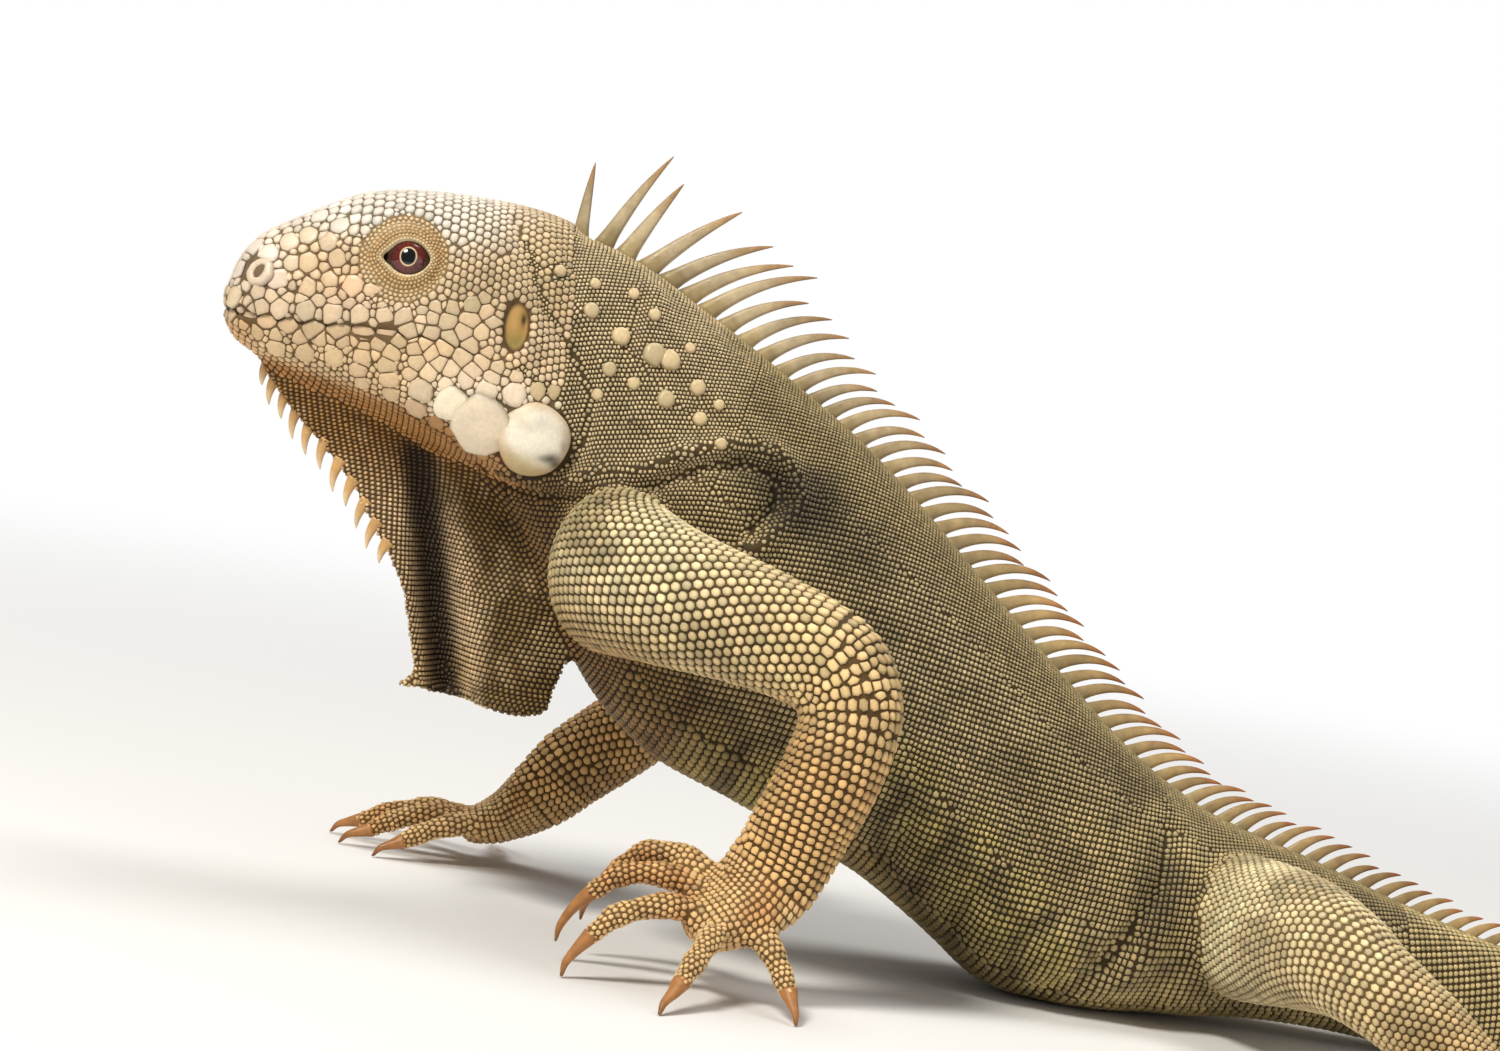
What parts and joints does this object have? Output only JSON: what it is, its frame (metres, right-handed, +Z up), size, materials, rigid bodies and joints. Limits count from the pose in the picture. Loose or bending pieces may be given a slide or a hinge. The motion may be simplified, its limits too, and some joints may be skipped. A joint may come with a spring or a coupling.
{
  "type": "green iguana model",
  "caption": "Life-size green iguana at rest, forequarters raised on straightened arms, with a hanging throat fan, a row of back spines and a long curled tail.",
  "frame": {"origin": "middle of the bounding box at floor level", "axes": "the animal faces -X, its left side is -Y, +Z is up; X is the longest extent"},
  "size_m": [0.7026, 0.5898, 0.2347],
  "materials": {
    "head_skin": "pale cream scales",
    "body_skin": "olive-brown granular scales",
    "limb_skin": "tan-yellow scales",
    "throat_skin": "orange-brown small scales",
    "eye": "glossy dark red-brown iris",
    "ear": "smooth membrane",
    "shield": "smooth pale plate"
  },
  "bodies": {
    "root": {"head": "head_skin", "jaw": "head_skin", "eye_left": "eye", "eye_right": "eye", "ear_left": "ear", "ear_right": "ear", "shield_left": "shield", "shield_right": "shield", "dewlap": "throat_skin", "neck": "body_skin", "trunk": "body_skin", "pelvis": "body_skin", "tail_base": "body_skin", "tail_middle": "body_skin", "tail_rear": "body_skin", "tail_tip": "body_skin", "upper_arm_left": "limb_skin", "upper_arm_right": "limb_skin", "forearm_left": "limb_skin", "forearm_right": "limb_skin", "hand_left": "limb_skin", "hand_right": "limb_skin", "thigh_left": "limb_skin", "thigh_right": "limb_skin", "shank_left": "limb_skin", "shank_right": "limb_skin", "foot_left": "limb_skin", "foot_right": "limb_skin"}
  },
  "joints": []
}
